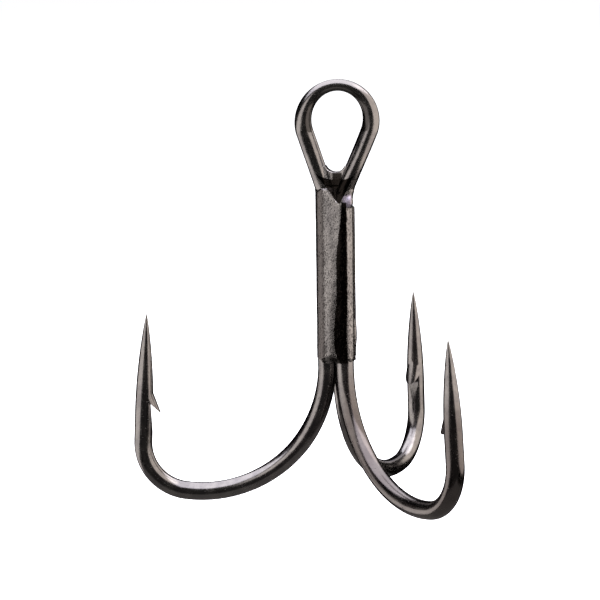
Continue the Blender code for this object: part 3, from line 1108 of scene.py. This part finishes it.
# %% Melt it together
VOXEL = 0.05
FLOW_STRENGTH = 0.6
FLOW_ROUNDS = 8
remesh = braze.modifiers.new("melt", "REMESH")
remesh.mode = "VOXEL"
remesh.voxel_size = VOXEL
only(braze)
bpy.ops.object.modifier_apply(modifier="melt")
smooth = braze.modifiers.new("flow", "SMOOTH")
smooth.factor = FLOW_STRENGTH
smooth.iterations = FLOW_ROUNDS
bpy.ops.object.modifier_apply(modifier="flow")
print("braze faces:", len(braze.data.polygons))

# %% [markdown]
# ## A surface that froze
# Braze freezes in waves: long ones down the shank, short ones and a fine grain. It pools a little in the
# lower part of the front groove and runs out thin at both ends of the coat. Every point is moved along its
# normal by the sum of these, which are written as formulas so that each can be tuned alone.

# %% Lumps, pools and feathered ends
from mathutils import noise as random_field

# Each row: waves per millimetre across and up, where in the noise it starts, and its strength.
WAVES = ((0.9, 0.4, 0, 1.6), (2.6, 1.3, 40, 0.7), (7, 6, 80, 0.3))
LUMP_HEIGHT = 0.009
FRONT_SAG = 0.09
SAG_TOP = 11.0
SAG_FADE = 9.0
SAG_FOCUS = 6
END_FADE = 0.45
END_FRAY = 0.3
END_GRAIN = 2.4
END_SINK = 1.7
WEB_CLEARANCE = 0.1


def lump(spot):
    """Height of the frozen surface's waves."""
    height = 0.0
    for across, up, offset, strength in WAVES:
        place = Vector((spot.x * across, spot.y * across, spot.z * up + offset))
        height += random_field.noise(place) * strength
    return height


def sag(spot):
    """The braze pools in the lower part of the front groove."""
    angle = math.atan2(spot.y, spot.x) - (FRONT_GROOVE + BUNDLE_TURN)
    facing = max(math.cos(angle), 0.0) ** SAG_FOCUS
    return FRONT_SAG * facing * clamped((SAG_TOP - spot.z) / SAG_FADE)


def end_sink(spot):
    """How far the coat sinks towards the wires at its ends. The web above it keeps its thickness."""
    if spot.z >= COAT_TOP + WEB_CLEARANCE:
        return 0.0
    ragged = END_FRAY * random_field.noise(spot * END_GRAIN)
    low_share = clamped((spot.z - BRAZE_BOTTOM + ragged) / END_FADE)
    high_share = clamped((COAT_TOP - spot.z + ragged) / END_FADE)
    return ((1 - low_share) + (1 - high_share)) * COAT_THICKNESS * END_SINK


normals = [vertex.normal.copy() for vertex in braze.data.vertices]
for vertex, normal in zip(braze.data.vertices, normals):
    spot = vertex.co.copy()
    vertex.co += normal * (LUMP_HEIGHT * lump(spot) + sag(spot) - end_sink(spot))
print("points moved:", len(normals))

# %% [markdown]
# ## Black nickel on braze
# The plate over the braze is paler than over the wire and full of small pits, since the casting under it
# is porous. Noise in three sizes gives its clouds, its specks and its grain. The left edge is darker, the
# lip of the run at the top of the right shank gets a painted highlight, and the mask of soot and painted
# shade runs on from the wires.

# %% The masks of the braze
RIM_GRAIN = (5000, 5000, 2500)
RIM_FRAY = 0.55
RIM_FADE = (-1.08, -1.0)
LEFT_EDGE = (-1.15, -0.8)
RIGHT_EDGE = (0.84, 1.2)
SPECK_GRAIN = (9000, 9000, 5000)
LIP_LEFT, LIP_RIGHT = 0.52, 1.2
LIP_BOTTOM, LIP_TOP = 13.2, 14.2


def lip_highlight_mask(start, place):
    """1 on the lip of the run on the right shank, where a highlight is painted."""
    shake = (stretched_noise(start, place, EDGE_GRAIN, 3.0) - 0.5) * EDGE_FRAY
    lip = between(across_eye(start, place) + shake, LIP_LEFT, LIP_RIGHT, 0.08)
    return lip * between(up_shank(start, place) + shake, LIP_BOTTOM, LIP_TOP, 0.1)


def left_rim(start, place):
    """1 on the darker left edge of the shank, with a ragged border."""
    ragged = stretched_noise(start, place, RIM_GRAIN, 4.0) - 0.5
    return 1 - (across_eye(start, place) + ragged * RIM_FRAY).step(*RIM_FADE)


def speck_mask(start, place):
    """1 on the pits, which are a little more common at the left and right edges."""
    across = across_eye(start, place)
    edges = between(across, *LEFT_EDGE, 0.12) + between(across, *RIGHT_EDGE, 0.1)
    specks = stretched_noise(start, place, SPECK_GRAIN, 2.0)
    return (specks + edges * 0.05).step(0.58, 0.67)


print("pale lip in mm:", round(LIP_TOP - LIP_BOTTOM, 2))

# %% The braze's plating
PALE_BRAZE = (0.275, 0.26, 0.252, 1.0)
DULL_BRAZE = (0.19, 0.18, 0.178, 1.0)
SPECK_COLOUR = (0.075, 0.07, 0.07, 1.0)
RIM_COLOUR = (0.06, 0.052, 0.05, 1.0)
# A painted highlight: the cool overhead light as mirrored on the lip of the run.
LIP_HIGHLIGHT_COLOUR = (0.44, 0.4, 0.5, 1.0)
CLOUD_GRAIN = (900, 900, 500)
FINE_GRAIN = (14000, 14000, 9000)


def plated_braze():
    made, shader, start = new_material("black_nickel_braze")
    place = start.node("ShaderNodeTexCoord", output=3)
    cloud = stretched_noise(start, place, CLOUD_GRAIN, 4.0)
    grain = stretched_noise(start, place, FINE_GRAIN, 3.0)
    specks = speck_mask(start, place)
    lip = lip_highlight_mask(start, place)
    tone = cloud.step(0.35, 0.65).mixed(DULL_BRAZE, PALE_BRAZE)
    spotted = (specks * 0.75).mixed(tone, SPECK_COLOUR)
    darkened = (left_rim(start, place) * 0.8).mixed(spotted, RIM_COLOUR)
    # Painted highlight on the lip of the run on the right shank.
    pale = (lip * 0.8).mixed(darkened, LIP_HIGHLIGHT_COLOUR)
    # Soot and painted shade darken the base colour through this mask.
    soot_and_shade_mask(start, place).mixed(pale, SOOT_AND_PAINTED_SHADE).into(shader, "Base Color")
    (cloud.step(0.3, 0.7) * 0.08 + specks * 0.15 + lip * 0.35 + 0.15).into(shader, "Roughness")
    relief = grain * 0.6 + cloud * 0.2 - specks * 0.9
    bump = start.node("ShaderNodeBump", Height=relief, Strength=0.5, Distance=0.03 * MM)
    bump.into(shader, "Normal")
    shader.inputs["Metallic"].default_value = 1.0
    return made


# %% Finish the braze
def paint(piece, finish):
    """Gives a piece one finish and takes any other away."""
    piece.data.materials.clear()
    piece.data.materials.append(finish)


only(braze)
paint(braze, plated_braze())
bring_home(braze)
bpy.ops.object.shade_smooth()
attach(braze, BODY)
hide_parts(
    "braze_core", "braze_fillet_front", "braze_fillet_left", "braze_fillet_right", "braze_neck_web"
)

# %% [markdown]
# ## Wires home
# The wires are finished last, because the braze was copied from them. Their doubles are merged before
# the normals are worked out again, and edges sharper than a small angle stay crisp, as round the barbs.

# %% Finish the wires
SHARP_ANGLE = math.radians(32)
WELD_DISTANCE = 0.0005


def finish_wire(piece, *nodes):
    """Welds a wire, makes its normals consistent, shades it, and puts it in the frame."""
    begin_edit(piece)
    bpy.ops.mesh.remove_doubles(threshold=WELD_DISTANCE)
    bpy.ops.mesh.normals_make_consistent(inside=False)
    end_edit()
    paint(piece, WIRE_FINISH)
    bring_home(piece)
    bpy.ops.object.shade_smooth_by_angle(angle=SHARP_ANGLE)
    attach(piece, BODY)
    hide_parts(*nodes)
    print(piece.name, "has", len(piece.data.polygons), "faces")


finish_wire(double_wire, "double_hook_wire")
finish_wire(single_wire, "single_hook_wire")

# %% [markdown]
# ## The end

# %% Import json
import json
